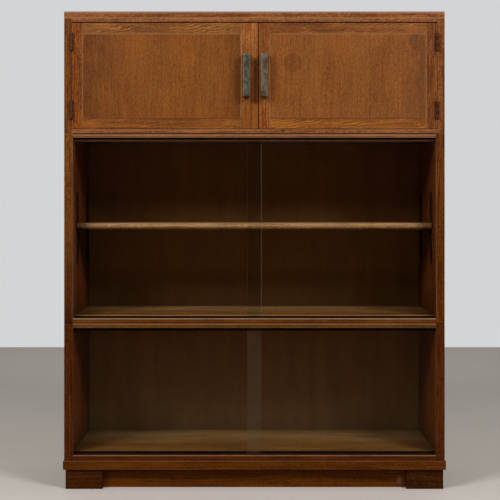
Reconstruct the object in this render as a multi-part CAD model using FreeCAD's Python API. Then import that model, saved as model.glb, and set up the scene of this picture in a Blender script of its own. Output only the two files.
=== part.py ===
import FreeCAD, Part
import os
from FreeCAD import Placement, Rotation, Vector

# A glazed oak bookcase that stacks: a plinth, two units with sliding glass and a cupboard on top.
# Millimetres. X runs along the front, Y to the back and Z up. The origin is on the floor, in the
# middle of the whole width and depth, handles included.

# Whole case and the heights of its layers, from the floor up
case_width = 890.0
case_depth = 290.0
plinth_height = 46.0
base_rail_height = 21.0
lower_height = 320.0
middle_height = 445.0
cupboard_height = 286.0

# Boards of the two glazed units
side_thick = 20.0
top_board_thick = 10.0
bottom_rail_height = 12.5
floor_rise = 6.0
front_rail_thick = 8.0
housing_depth = 3.0
inner_arris = 3.0
outer_arris = 1.2
top_rail_arris = 2.0
joint_arris = 1.5

# Back panels and the screws that hold them
back_thick = 5.0
back_inset = 2.0
back_rebate = 8.0
back_screw_head = 3.2
back_screw_radius = 1.5
back_screw_length = 16.0
back_row_shares = (-0.8, -0.4, 0.0, 0.4, 0.8)
back_side_shares = (0.22, 0.5, 0.78)

# Sliding glass and the grooved tracks that it runs in
glass_thick = 4.0
glass_arris = 1.0
groove_clearance = 0.4
track_wall = 0.8
track_divider = 1.8
bottom_groove_depth = 4.5
top_groove_depth = 7.5
pane_head_room = 5.0
track_lip_thick = 3.0
track_lip_drop = 8.5
pane_overlap = 33.0
pane_side_gap = 1.0
grip_length = 52.0
grip_width = 8.0
grip_depth = 1.5
grip_inset = 22.0

# Locating dowels between the layers
dowel_radius = 4.0
dowel_depth = 12.0
dowel_from_side = 8.5
dowel_setback = 40.0
dowel_glue_gap = 0.05
dowel_free_gap = 0.4

# Loose shelf of the middle unit, its slotted strips and clips
shelf_thick = 16.0
shelf_setback = 50.0
shelf_nose = 7.5
shelf_end_gap = 0.7
shelf_back_gap = 2.0
strip_length = 170.0
strip_width = 20.0
strip_thick = 1.8
strip_setback = 75.0
strip_rear_setback = 45.0
slot_pitch = 19.0
slot_count = 8
slot_height = 3.0
slot_width = 9.0
clip_width = 14.0
clip_thick = 1.5
clip_ledge = 12.0
clip_rise = 6.0
clip_tail = 4.0
clip_slot_drop = 1
strip_screw_head = 3.0
strip_screw_radius = 1.3
strip_screw_length = 12.0
strip_screw_inset = 10.0

# Base frame and plinth
base_proud = 2.5
base_rail_width = 45.0
base_arris = 2.5
plinth_inset = 2.7
foot_width = 86.5
foot_depth = 60.0
foot_arris = 2.0
plinth_recess = 19.0
plinth_board_thick = 18.0
glue_block_size = 25.0
glue_block_height = 30.0

# Cupboard case
cap_thick = 16.5
cap_arris = 6.0
cap_end_arris = 2.0
cupboard_side_thick = 17.0
cupboard_top_rail_height = 9.0
cupboard_board_thick = 9.6
rail_edge_arris = 0.8
stop_length = 40.0
stop_thick = 9.0
stop_drop = 6.0
stop_gap = 140.0

# Cupboard doors
door_thick = 18.0
hinge_gap = 1.0
door_top_gap = 2.2
door_bottom_gap = 1.5
meeting_gap = 2.0
strip_cover_width = 19.0
stile_width = 25.0
left_meeting_stile_width = 22.0
door_rail_height = 25.0
door_arris = 1.0
frame_arris = 1.5
panel_recess = 0.3
panel_thick = 8.0
panel_lap = 3.0
panel_arris = 1.3
panel_gap = 0.3
panel_tongue = 6.0
panel_room = 0.2

# Butt hinges
knuckle_radius = 4.0
knuckle_clearance = 0.4
knuckle_count = 5
knuckle_gap = 0.3
hinge_length = 41.0
hinge_from_door_end = 44.0
pivot_proud = 3.0
pin_radius = 1.5
pin_clearance = 0.06
leaf_thick = 1.2
leaf_reach = 15.5
hinge_screw_head = 2.4
hinge_screw_radius = 1.1
hinge_screw_length = 12.0
hinge_screw_setback = 10.0
hinge_screw_shares = (-0.34, 0.0, 0.34)

# Strap handles
handle_length = 100.0
handle_width = 16.0
handle_reach = 22.0
handle_bar_thick = 4.0
handle_leg_thick = 7.5
handle_bend = 3.5
handle_inner_bend = 2.0
handle_arris = 2.0
left_handle_from_edge = 9.5
right_handle_from_edge = 11.0
handle_screw_radius = 1.8
handle_screw_head = 4.2
handle_screw_head_depth = 2.4
handle_screw_grip = 9.0

# Ball catches
catch_radius = 3.5
catch_length = 12.0
catch_from_edge = 60.0
ball_radius = 2.0
ball_proud = 1.2
ball_room = 0.1
strike_length = 24.0
strike_width = 10.0
strike_thick = 0.7
strike_hole_radius = 2.6

# Screws of every kind
screw_clearance = 0.05
screw_slot_share = 0.3
screw_point_share = 0.25

# How far a cutting shape runs past the face that it cuts
overrun = 1.0

# Levels and planes that follow from the sizes
front_y = (handle_reach - case_depth) / 2
back_y = front_y + case_depth
half_width = case_width / 2
lower_z = plinth_height + base_rail_height
middle_z = lower_z + lower_height
cupboard_z = middle_z + middle_height
top_z = cupboard_z + cupboard_height
panel_y = back_y - back_inset - back_thick
groove_width = glass_thick + 2 * groove_clearance
track_width = 2 * track_wall + 2 * groove_width + track_divider
track_y = front_y + front_rail_thick
floor_y = track_y + track_width
glazed_inner = half_width - side_thick
cupboard_inner = half_width - cupboard_side_thick


def block(low, high):
    """A box between two opposite corners."""
    spans = [b - a for a, b in zip(low, high)]
    return Part.makeBox(spans[0], spans[1], spans[2], Vector(*low))


def place(axis, a, b, c):
    """A point from its place c along an axis and its two places a and b across it."""
    return {"x": Vector(c, a, b), "y": Vector(a, c, b), "z": Vector(a, b, c)}[axis]


def rod(axis, a, b, start, end, radius):
    """A round rod along an axis."""
    return Part.makeCylinder(radius, end - start, place(axis, a, b, start), place(axis, 0, 0, 1))


def arris_waste(axis, a, b, toward_a, toward_b, start, end, radius):
    """What a rounding plane takes off an edge at (a, b), whose wood lies towards the two signs."""
    outer = place(axis, a - toward_a * overrun, b - toward_b * overrun, start)
    inner = place(axis, a + toward_a * radius, b + toward_b * radius, end)
    low = [min(pair) for pair in zip(outer, inner)]
    high = [max(pair) for pair in zip(outer, inner)]
    keep = rod(axis, a + toward_a * radius, b + toward_b * radius, start, end, radius)
    return block(low, high).cut(keep)


def cut_all(shape, wastes):
    """The shape with every waste taken out of it."""
    for waste in wastes:
        shape = shape.cut(waste)
    return shape


def fuse_all(shapes):
    """One solid from touching shapes."""
    whole = shapes[0]
    for shape in shapes[1:]:
        whole = whole.fuse(shape)
    return whole.removeSplitter()


def mirrored(shape):
    """The same shape on the other side of the middle plane."""
    return shape.mirror(Vector(0, 0, 0), Vector(1, 0, 0))


def both_sides(shapes):
    """The shapes with their mirror images."""
    return shapes + [mirrored(shape) for shape in shapes]


def turned(shape, at, into):
    """A shape made along +Z at the origin, moved to a place and pointed along a direction."""
    moved = shape.copy()
    moved.Placement = Placement(at, Rotation(Vector(0, 0, 1), into))
    return moved


def wood_screw(at, into, head, radius, length):
    """A slotted countersunk screw. The middle of its head's face is at a place."""
    head_depth = head - radius
    point = length * screw_point_share
    cone = Part.makeCone(head, radius, head_depth)
    shank = Part.makeCylinder(radius, length - head_depth - point, Vector(0, 0, head_depth))
    tip = Part.makeCone(radius, radius * screw_slot_share, point, Vector(0, 0, length - point))
    slot_half = radius * screw_slot_share
    slot = block((-head - overrun, -slot_half, -overrun), (head + overrun, slot_half, slot_half * 2))
    return turned(fuse_all([cone, shank, tip]).cut(slot), at, into)


def screw_hole(at, into, head, radius, length):
    """The hole for a countersunk screw, a little wider than the screw."""
    wide = radius + screw_clearance
    cone = Part.makeCone(head + screw_clearance, wide, head - radius)
    shank = Part.makeCylinder(wide, length + screw_clearance)
    return turned(cone.fuse(shank), at, into)


def dowel_spots():
    """Where the four locating dowels stand, in plan."""
    across = half_width - dowel_from_side
    return [(sign * across, y) for sign in (-1, 1)
            for y in (front_y + dowel_setback, back_y - dowel_setback)]


def dowel_set(level):
    """Four dowels, half glued in the layer below a level and half standing up out of it."""
    return [rod("z", x, y, level - dowel_depth, level + dowel_depth, dowel_radius)
            for x, y in dowel_spots()]


def dowel_sockets(level):
    """The glued holes below a level."""
    return [rod("z", x, y, level - dowel_depth - dowel_glue_gap, level + overrun,
                dowel_radius + dowel_glue_gap) for x, y in dowel_spots()]


def dowel_mouths(level):
    """The free holes above a level, that the next layer drops over the dowels with."""
    return [rod("z", x, y, level - overrun, level + dowel_depth + dowel_free_gap,
                dowel_radius + dowel_free_gap) for x, y in dowel_spots()]


def back_screw_spots(inner, low, high, rows):
    """Middles of the screw heads on a back panel: along each board and up both sides."""
    spots = [Vector(share * inner, panel_y + back_thick, z) for z in rows for share in back_row_shares]
    side = inner + back_rebate / 2
    spots += [Vector(sign * side, panel_y + back_thick, low + share * (high - low))
              for sign in (-1, 1) for share in back_side_shares]
    return spots


def back_screws(spots):
    """The screws through a back panel."""
    return [wood_screw(spot, Vector(0, -1, 0), back_screw_head, back_screw_radius, back_screw_length)
            for spot in spots]


def back_holes(spots):
    """Their holes in the panel and in what it is screwed to."""
    return [screw_hole(spot, Vector(0, -1, 0), back_screw_head, back_screw_radius, back_screw_length)
            for spot in spots]


def back_panel(inner, low, high, holes):
    """A plywood back in the rebates of two sides."""
    reach = inner + back_rebate
    panel = block((-reach, panel_y, low), (reach, panel_y + back_thick, high))
    return cut_all(panel, holes)


def side_blank(thick, low, high, top_arris):
    """A left side board with its back rebate, its front corner and its ends eased."""
    side = block((-half_width, front_y, low), (thick - half_width, back_y, high))
    inner = half_width - thick
    wastes = [block((-inner - back_rebate, panel_y, low - overrun),
                    (-inner + overrun, back_y + overrun, high + overrun)),
              arris_waste("z", -half_width, front_y, 1, 1, low - overrun, high + overrun, outer_arris)]
    for z, way, radius in ((low, 1, joint_arris), (high, -1, top_arris)):
        wastes.append(arris_waste("x", front_y, z, 1, way, -half_width - overrun, -inner + overrun,
                                  radius))
        wastes.append(arris_waste("y", -half_width, z, 1, way, front_y - overrun, back_y + overrun,
                                  radius))
    return cut_all(side, wastes)


def eased_rail(low, high, depth, reach, low_arris, high_arris):
    """A front rail with its two long front edges rounded."""
    rail = block((-reach, front_y, low), (reach, front_y + depth, high))
    ends = (-reach - overrun, reach + overrun)
    return cut_all(rail, [arris_waste("x", front_y, low, 1, 1, ends[0], ends[1], low_arris),
                          arris_waste("x", front_y, high, 1, -1, ends[0], ends[1], high_arris)])


def glazed_boards(low, high):
    """The top and bottom boards of a glazed unit, whose ends are housed in the sides."""
    reach = glazed_inner + housing_depth
    top = block((-reach, floor_y + track_lip_thick, high - top_board_thick), (reach, panel_y, high))
    floor_top = low + bottom_rail_height + floor_rise
    bottom = block((-reach, floor_y, low), (reach, panel_y, floor_top))
    nose = arris_waste("x", floor_y, floor_top, 1, -1, -reach - overrun, reach + overrun, inner_arris)
    return top, bottom.cut(nose)


def glazed_front_rails(low, high):
    """The two narrow rails that close the front edge of a glazed unit."""
    return [eased_rail(high - top_board_thick, high, front_rail_thick, glazed_inner, top_rail_arris,
                       joint_arris),
            eased_rail(low, low + bottom_rail_height, front_rail_thick, glazed_inner, joint_arris,
                       inner_arris)]


def groove_starts():
    """The front faces of the front and rear grooves."""
    first = track_y + track_wall
    return first, first + groove_width + track_divider


def glazed_tracks(low, high):
    """The grooved strips over and under the glass. The upper one has a deeper lip at its back."""
    reach = glazed_inner
    top_low = high - top_board_thick
    bottom_high = low + bottom_rail_height
    top = block((-reach, track_y, top_low), (reach, floor_y + track_lip_thick, high))
    lip = block((-reach, floor_y, top_low - track_lip_drop), (reach, floor_y + track_lip_thick, high))
    top = fuse_all([top, lip])
    bottom = block((-reach, track_y, low), (reach, floor_y, bottom_high))
    for start in groove_starts():
        top = top.cut(block((-reach - overrun, start, top_low - overrun),
                            (reach + overrun, start + groove_width, top_low + top_groove_depth)))
        bottom = bottom.cut(block((-reach - overrun, start, bottom_high - bottom_groove_depth),
                                  (reach + overrun, start + groove_width, bottom_high + overrun)))
    return [top, bottom]


def glazed_side(low, high, boards, wastes):
    """A left side of a glazed unit, housed for its boards and rounded along the opening."""
    side = side_blank(side_thick, low, high, joint_arris)
    edge = arris_waste("z", -glazed_inner, front_y, -1, 1, low + bottom_rail_height,
                       high - top_board_thick, inner_arris)
    return cut_all(side, [edge] + list(boards) + wastes)


def grip_waste(x, y, z):
    """A finger grip ground into the front face of a pane."""
    wide = grip_width / 2
    half = grip_length / 2 - wide
    middle = block((x - wide, y - overrun, z - half), (x + wide, y + grip_depth, z + half))
    ends = [rod("y", x, z + way * half, y - overrun, y + grip_depth, wide) for way in (-1, 1)]
    return fuse_all([middle] + ends)


def sheet_of_glass(low, high):
    """A sheet between two opposite corners, with ground arrises round its front and back faces."""
    sheet = block(low, high)
    outline = [edge for edge in sheet.Edges if edge.BoundBox.YLength < glass_arris]
    return sheet.makeChamfer(glass_arris, outline)


def glass_panes(low, high, left_in_front):
    """The left and right sliding panes. One runs in the front groove and one behind it."""
    bottom = low + bottom_rail_height - bottom_groove_depth
    top = high - top_board_thick + top_groove_depth - pane_head_room
    outer = glazed_inner - pane_side_gap
    grip_z = (low + bottom_rail_height + floor_rise + high - top_board_thick - track_lip_drop) / 2
    starts = groove_starts()
    panes = []
    for sign, in_front in ((-1, left_in_front), (1, not left_in_front)):
        y = (starts[0] if in_front else starts[1]) + groove_clearance
        edges = sorted((sign * outer, -sign * pane_overlap / 2))
        pane = sheet_of_glass((edges[0], y, bottom), (edges[1], y + glass_thick, top))
        panes.append(pane.cut(grip_waste(sign * (outer - grip_inset), y, grip_z)))
    return panes


def glazed_unit(name, low, high, left_in_front, side_wastes):
    """Every piece of a glazed unit, by node name."""
    boards = glazed_boards(low, high)
    rows = (low + bottom_rail_height / 2 + floor_rise / 2, high - top_board_thick / 2)
    spots = back_screw_spots(glazed_inner, low, high, rows)
    holes = back_holes(spots)
    wastes = dowel_sockets(high) + dowel_mouths(low) + holes + side_wastes
    side = glazed_side(low, high, boards, wastes)
    panes = glass_panes(low, high, left_in_front)
    return {
        name + "_side_left": [side],
        name + "_side_right": [mirrored(side)],
        name + "_top_board": [cut_all(boards[0], holes)],
        name + "_bottom_board": [cut_all(boards[1], holes)],
        name + "_front_rails": glazed_front_rails(low, high),
        name + "_tracks": glazed_tracks(low, high),
        name + "_back_panel": [back_panel(glazed_inner, low, high, holes)],
        name + "_dowels": dowel_set(high),
        name + "_glass_left": [panes[0]],
        name + "_glass_right": [panes[1]],
        name + "_screws": back_screws(spots),
    }


def strip_places():
    """Front face middles of the shelf strips on the left side, in plan."""
    return [front_y + strip_setback, panel_y - strip_rear_setback]


def opening_middle():
    """The middle height of the middle unit's opening."""
    low = middle_z + bottom_rail_height + floor_rise
    return (low + cupboard_z - top_board_thick - track_lip_drop) / 2


def slot_heights():
    """The heights of the slots in a strip."""
    middle = opening_middle()
    return [middle + (index - (slot_count - 1) / 2) * slot_pitch for index in range(slot_count)]


def strip_screw_spots():
    """The two screws of each left strip."""
    middle = opening_middle()
    reach = strip_length / 2 - strip_screw_inset
    return [Vector(strip_thick - glazed_inner, y, middle + way * reach)
            for y in strip_places() for way in (-1, 1)]


def strip_screw_parts(maker):
    """Screws or holes for the left strips."""
    return [maker(spot, Vector(-1, 0, 0), strip_screw_head, strip_screw_radius, strip_screw_length)
            for spot in strip_screw_spots()]


def shelf_strips():
    """Four slotted metal strips, two on each side."""
    middle = opening_middle()
    left = []
    for y in strip_places():
        strip = block((-glazed_inner, y - strip_width / 2, middle - strip_length / 2),
                      (strip_thick - glazed_inner, y + strip_width / 2, middle + strip_length / 2))
        for z in slot_heights():
            strip = strip.cut(block((-glazed_inner - overrun, y - slot_width / 2, z - slot_height / 2),
                                    (strip_thick - glazed_inner + overrun, y + slot_width / 2,
                                     z + slot_height / 2)))
        left.append(cut_all(strip, strip_screw_parts(screw_hole)))
    return both_sides(left)


def shelf_seat():
    """The height of the ledges that carry the shelf."""
    return slot_heights()[slot_count // 2 - clip_slot_drop] + clip_rise


def shelf_clips():
    """Four clips, each hooked in a slot, with a ledge under the shelf."""
    seat = shelf_seat()
    face = strip_thick - glazed_inner
    slot = seat - clip_rise
    left = []
    for y in strip_places():
        ledge = block((face, y - clip_width / 2, seat - clip_thick),
                      (face + clip_ledge, y + clip_width / 2, seat))
        back = block((face, y - clip_width / 2, slot - clip_tail),
                     (face + clip_thick, y + clip_width / 2, seat))
        wide = slot_width / 2 - screw_clearance
        tall = slot_height / 2 - screw_clearance
        hook = block((-glazed_inner + screw_clearance, y - wide, slot - tall),
                     (face + clip_thick, y + wide, slot + tall))
        left.append(fuse_all([ledge, back, hook]))
    return both_sides(left)


def loose_shelf():
    """A shelf with a rounded nose, that lies on the clips."""
    reach = glazed_inner - strip_thick - shelf_end_gap
    nose_y = front_y + shelf_setback
    low = shelf_seat()
    high = low + shelf_thick
    shelf = block((-reach, nose_y, low), (reach, panel_y - shelf_back_gap, high))
    ends = (-reach - overrun, reach + overrun)
    return cut_all(shelf, [arris_waste("x", nose_y, high, 1, -1, ends[0], ends[1], shelf_nose),
                           arris_waste("x", nose_y, low, 1, 1, ends[0], ends[1], shelf_nose)])


def middle_unit():
    """The middle unit with its shelf and what carries it."""
    nodes = glazed_unit("mid", middle_z, cupboard_z, True, strip_screw_parts(screw_hole))
    nodes["mid_screws"] += both_sides(strip_screw_parts(wood_screw))
    nodes["mid_shelf_strips"] = shelf_strips()
    nodes["mid_shelf_clips"] = shelf_clips()
    nodes["mid_shelf"] = [loose_shelf()]
    return nodes


def wedge(corners, low, high):
    """An upright prism over a plan outline."""
    points = [Vector(x, y, low) for x, y in corners]
    face = Part.Face(Part.makePolygon(points + points[:1]))
    return face.extrude(Vector(0, 0, high - low))


def base_frame():
    """The mitred frame that the lower unit stands on, front rail first, then sides and back."""
    out_x = half_width + base_proud
    out_y = front_y - base_proud
    low = plinth_height
    high = lower_z
    frame = block((-out_x, out_y, low), (out_x, back_y, high))
    hole = block((base_rail_width - out_x, out_y + base_rail_width, low - overrun),
                 (out_x - base_rail_width, back_y - base_rail_width, high + overrun))
    wastes = [hole, arris_waste("x", out_y, high, 1, -1, -out_x - overrun, out_x + overrun, base_arris)]
    for sign in (-1, 1):
        wastes.append(arris_waste("y", sign * out_x, high, -sign, -1, out_y - overrun, back_y + overrun,
                                  base_arris))
        wastes.append(arris_waste("z", sign * out_x, out_y, -sign, 1, low - overrun, high + overrun,
                                  outer_arris))
    frame = cut_all(frame, wastes + dowel_sockets(lower_z))
    in_x = out_x - base_rail_width
    in_y = out_y + base_rail_width
    end_y = back_y - base_rail_width
    front = wedge([(-out_x, out_y), (out_x, out_y), (in_x, in_y), (-in_x, in_y)], low, high)
    left = wedge([(-out_x, out_y), (-in_x, in_y), (-in_x, end_y), (-out_x, back_y)], low, high)
    back = wedge([(-out_x, back_y), (-in_x, end_y), (in_x, end_y), (out_x, back_y)], low, high)
    parts = [frame.common(outline) for outline in (front, left, mirrored(left), back)]
    return [part.Solids[0] for part in parts]


def front_feet():
    """Two block feet at the front corners."""
    outer = half_width - plinth_inset
    face = front_y + plinth_inset
    foot = block((-outer, face, 0), (foot_width - outer, face + foot_depth, plinth_height))
    corners = [arris_waste("z", x, face, way, 1, -overrun, plinth_height + overrun, foot_arris)
               for x, way in ((-outer, 1), (foot_width - outer, -1))]
    return both_sides([cut_all(foot, corners)])


def plinth_front_board():
    """The board set back between the feet."""
    reach = half_width - plinth_inset - foot_width
    face = front_y + plinth_inset + plinth_recess
    return block((-reach, face, 0), (reach, face + plinth_board_thick, plinth_height))


def plinth_side_and_back_boards():
    """Side boards from each foot to the back, and a board between them."""
    outer = half_width - plinth_inset
    inner = outer - plinth_board_thick
    start = front_y + plinth_inset + foot_depth
    end = back_y - plinth_inset
    side = block((-outer, start, 0), (-inner, end, plinth_height))
    back = block((-inner, end - plinth_board_thick, 0), (inner, end, plinth_height))
    return both_sides([side]) + [back]


def plinth_glue_blocks():
    """Blocks that stiffen the corners of the plinth, up against the base frame."""
    inner = half_width - plinth_inset - plinth_board_thick
    foot_back = front_y + plinth_inset + foot_depth
    board_back = front_y + plinth_inset + plinth_recess + plinth_board_thick
    rear = back_y - plinth_inset - plinth_board_thick
    foot_inner = half_width - plinth_inset - foot_width
    size = glue_block_size
    low = plinth_height - glue_block_height
    spots = [(-inner, foot_back), (-inner, rear - size), (-foot_inner, board_back)]
    return both_sides([block((x, y, low), (x + size, y + size, plinth_height)) for x, y in spots])


def plinth():
    """Every piece of the plinth, by node name."""
    frame = base_frame()
    return {
        "base_rail_front": frame[:1],
        "base_rails_side_and_back": frame[1:],
        "plinth_front_board": [plinth_front_board()],
        "plinth_side_and_back_boards": plinth_side_and_back_boards(),
        "front_feet": front_feet(),
        "plinth_glue_blocks": plinth_glue_blocks(),
        "base_dowels": dowel_set(lower_z),
    }


def door_span():
    """The heights of the doors' lower and upper edges."""
    low = cupboard_z + cupboard_board_thick + door_bottom_gap
    return low, top_z - cap_thick - cupboard_top_rail_height - door_top_gap


def pivot():
    """The left hinges' axis, in plan."""
    return hinge_gap / 2 - cupboard_inner, front_y - pivot_proud


def hinge_levels():
    """The middle heights of a door's two hinges."""
    low, high = door_span()
    return low + hinge_from_door_end, high - hinge_from_door_end


def hinge_segments(middle, own):
    """The knuckle spans of one leaf, own 0 for the frame's leaf and 1 for the door's."""
    start = middle - hinge_length / 2
    step = hinge_length / knuckle_count
    return [(start + index * step + knuckle_gap / 2, start + (index + 1) * step - knuckle_gap / 2)
            for index in range(own, knuckle_count, 2)]


def leaf_faces(own):
    """The near and far faces of a left leaf, across the gap between side and door."""
    if own:
        return hinge_gap - cupboard_inner, hinge_gap - cupboard_inner + leaf_thick
    return -cupboard_inner - leaf_thick, -cupboard_inner


def hinge_screw_spots(middle, own):
    """The heads of a left leaf's screws."""
    near, far = leaf_faces(own)
    x = near if own else far
    return [Vector(x, front_y + hinge_screw_setback, middle + share * hinge_length)
            for share in hinge_screw_shares]


def hinge_screw_parts(maker, own):
    """Screws or holes for both left leaves of one kind."""
    into = Vector(1 if own else -1, 0, 0)
    return [maker(spot, into, hinge_screw_head, hinge_screw_radius, hinge_screw_length)
            for middle in hinge_levels() for spot in hinge_screw_spots(middle, own)]


def hinge_leaf(middle, own):
    """One left hinge leaf with its knuckles."""
    x, y = pivot()
    near, far = leaf_faces(own)
    low = middle - hinge_length / 2
    high = middle + hinge_length / 2
    clear = knuckle_radius + knuckle_clearance
    plate = block((near, y, low), (far, front_y + leaf_reach, high))
    plate = plate.cut(rod("z", x, y, low - overrun, high + overrun, clear))
    pieces = [plate]
    for start, end in hinge_segments(middle, own):
        pieces.append(rod("z", x, y, start, end, knuckle_radius))
        pieces.append(block((near, y, start), (far, y + clear + overrun, end)))
    hole = rod("z", x, y, low - overrun, high + overrun, pin_radius + pin_clearance)
    return cut_all(fuse_all(pieces), [hole] + hinge_screw_parts(screw_hole, own))


def hinge_leaves(own):
    """Both left leaves of one kind."""
    return [hinge_leaf(middle, own) for middle in hinge_levels()]


def hinge_recesses(own):
    """What a side or a stile loses to its leaves, the knuckles and the screws."""
    x, y = pivot()
    near, far = leaf_faces(own)
    wastes = hinge_screw_parts(screw_hole, own)
    for middle in hinge_levels():
        low = middle - hinge_length / 2
        high = middle + hinge_length / 2
        wastes.append(block((near, y, low), (far, front_y + leaf_reach, high)))
        wastes.append(rod("z", x, y, low - knuckle_gap, high + knuckle_gap,
                          knuckle_radius + knuckle_clearance))
    return wastes


def hinge_pins():
    """The four hinge pins."""
    x, y = pivot()
    return both_sides([rod("z", x, y, middle - hinge_length / 2, middle + hinge_length / 2, pin_radius)
                       for middle in hinge_levels()])


def cupboard_cap():
    """The top board, which lies over the sides and has a rounded front."""
    under = top_z - cap_thick
    cap = block((-half_width, front_y, under), (half_width, back_y, top_z))
    wastes = [arris_waste("x", front_y, z, 1, way, -half_width - overrun, half_width + overrun, radius)
              for z, way, radius in ((top_z, -1, cap_arris), (under, 1, rail_edge_arris))]
    for sign in (-1, 1):
        for z, way, radius in ((top_z, -1, cap_end_arris), (under, 1, rail_edge_arris)):
            wastes.append(arris_waste("y", sign * half_width, z, -sign, way, front_y - overrun,
                                      back_y + overrun, radius))
        wastes.append(arris_waste("z", sign * half_width, front_y, -sign, 1, under - overrun,
                                  top_z + overrun, outer_arris))
    return cut_all(cap, wastes)


def cupboard_front_rails():
    """The rail under the cap and the rail under the doors, as deep as the doors."""
    under = top_z - cap_thick
    return [eased_rail(under - cupboard_top_rail_height, under, door_thick, cupboard_inner,
                       rail_edge_arris, rail_edge_arris),
            eased_rail(cupboard_z, cupboard_z + cupboard_board_thick, door_thick, cupboard_inner,
                       joint_arris, rail_edge_arris)]


def cupboard_bottom_board():
    """The cupboard's floor, housed in its sides behind the rail."""
    reach = cupboard_inner + housing_depth
    return block((-reach, front_y + door_thick, cupboard_z),
                 (reach, panel_y, cupboard_z + cupboard_board_thick))


def door_stops():
    """Two blocks behind the top rail that the doors close against."""
    under = top_z - cap_thick
    low = under - cupboard_top_rail_height - stop_drop
    near = stop_gap / 2
    stop = block((-near - stop_length, front_y + door_thick, low),
                 (-near, front_y + door_thick + stop_thick, under))
    return both_sides([stop])


def catch_spots():
    """Where the left and right catches stand, in plan."""
    y = front_y + door_thick / 2
    left = -strip_cover_width / 2 - catch_from_edge
    right = strip_cover_width / 2 + meeting_gap + catch_from_edge
    return (left, y), (right, y)


def catch_strikes():
    """Thin strike plates under the top rail, each with a hole for the ball."""
    rail = top_z - cap_thick - cupboard_top_rail_height
    plates = []
    for x, y in catch_spots():
        plate = block((x - strike_length / 2, y - strike_width / 2, rail - strike_thick),
                      (x + strike_length / 2, y + strike_width / 2, rail))
        plates.append(plate.cut(rod("z", x, y, rail - strike_thick - overrun, rail + overrun,
                                    strike_hole_radius)))
    return plates


def door_catch(spot):
    """A barrel let into a door's top edge, with its ball."""
    x, y = spot
    high = door_span()[1]
    barrel = rod("z", x, y, high - catch_length, high, catch_radius)
    ball = Part.makeSphere(ball_radius, Vector(x, y, high + ball_proud - ball_radius))
    room = Part.makeSphere(ball_radius + ball_room, Vector(x, y, high + ball_proud - ball_radius))
    return [barrel.cut(room), ball]


def cupboard_case():
    """Every fixed piece of the cupboard, by node name."""
    under = top_z - cap_thick
    board = cupboard_bottom_board()
    rows = (cupboard_z + cupboard_board_thick / 2,)
    spots = back_screw_spots(cupboard_inner, cupboard_z, under, rows)
    holes = back_holes(spots)
    wastes = [board] + dowel_mouths(cupboard_z) + holes + hinge_recesses(0)
    side = cut_all(side_blank(cupboard_side_thick, cupboard_z, under, rail_edge_arris), wastes)
    return {
        "cupboard_side_left": [side],
        "cupboard_side_right": [mirrored(side)],
        "cupboard_top_board": [cupboard_cap()],
        "cupboard_front_rails": cupboard_front_rails(),
        "cupboard_bottom_board": [cut_all(board, holes)],
        "cupboard_back_panel": [back_panel(cupboard_inner, cupboard_z, under, holes)],
        "cupboard_screws": back_screws(spots) + both_sides(hinge_screw_parts(wood_screw, 0)),
        "hinge_frame_leaves": both_sides(hinge_leaves(0)),
        "hinge_pins": hinge_pins(),
        "door_stops": door_stops(),
        "catch_strikes": catch_strikes(),
    }


def handle_spots(x):
    """The middles of a handle's two legs, on the door's front."""
    low, high = door_span()
    reach = (handle_length - handle_leg_thick) / 2
    return [(x, (low + high) / 2 + way * reach) for way in (-1, 1)]


def handle(x):
    """A strap handle: a flat bar on two legs, with eased edges."""
    low, high = door_span()
    middle = (low + high) / 2
    start = middle - handle_length / 2
    end = middle + handle_length / 2
    tip = front_y - handle_reach
    left = x - handle_width / 2
    right = x + handle_width / 2
    strap = block((left, tip, start), (right, front_y, end))
    gap_low = start + handle_leg_thick
    gap_high = end - handle_leg_thick
    gap = block((left - overrun, tip + handle_bar_thick, gap_low),
                (right + overrun, front_y + overrun, gap_high))
    for z, way in ((gap_low, 1), (gap_high, -1)):
        corner = arris_waste("x", tip + handle_bar_thick, z, 1, way, left - overrun, right + overrun,
                             handle_inner_bend)
        gap = gap.cut(corner)
    wastes = [gap]
    for z, way in ((start, 1), (end, -1)):
        wastes.append(arris_waste("x", tip, z, 1, way, left - overrun, right + overrun, handle_bend))
    for side, way in ((left, 1), (right, -1)):
        wastes.append(arris_waste("z", side, tip, way, 1, start - overrun, end + overrun, handle_arris))
    for _, z in handle_spots(x):
        wastes.append(rod("y", x, z, front_y - handle_screw_grip - overrun, front_y + overrun,
                          handle_screw_radius + screw_clearance))
    return cut_all(strap, wastes)


def handle_screws(x):
    """The two bolts that hold a handle, with their heads inside the cupboard."""
    back = front_y + door_thick
    bolts = []
    for _, z in handle_spots(x):
        shank = rod("y", x, z, front_y - handle_screw_grip, back, handle_screw_radius)
        head = rod("y", x, z, back, back + handle_screw_head_depth, handle_screw_head)
        slot_half = handle_screw_radius * screw_slot_share
        slot = block((x - handle_screw_head - overrun, back + handle_screw_head_depth / 2, z - slot_half),
                     (x + handle_screw_head + overrun, back + handle_screw_head_depth + overrun,
                      z + slot_half))
        bolts.append(fuse_all([shank, head]).cut(slot))
    return bolts


def handle_screw_holes(x):
    """Their holes through the stile."""
    return [rod("y", x, z, front_y - overrun, front_y + door_thick + overrun,
                handle_screw_radius + screw_clearance) for _, z in handle_spots(x)]


def panel_tongue_block(left, right, reach):
    """The thin edge of a panel that stands in the frame, or the groove for it."""
    low, high = door_span()
    face = front_y + panel_recess
    inset = door_rail_height - reach
    return block((left - reach, face + panel_lap, low + inset),
                 (right + reach, face + panel_thick, high - inset))


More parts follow.
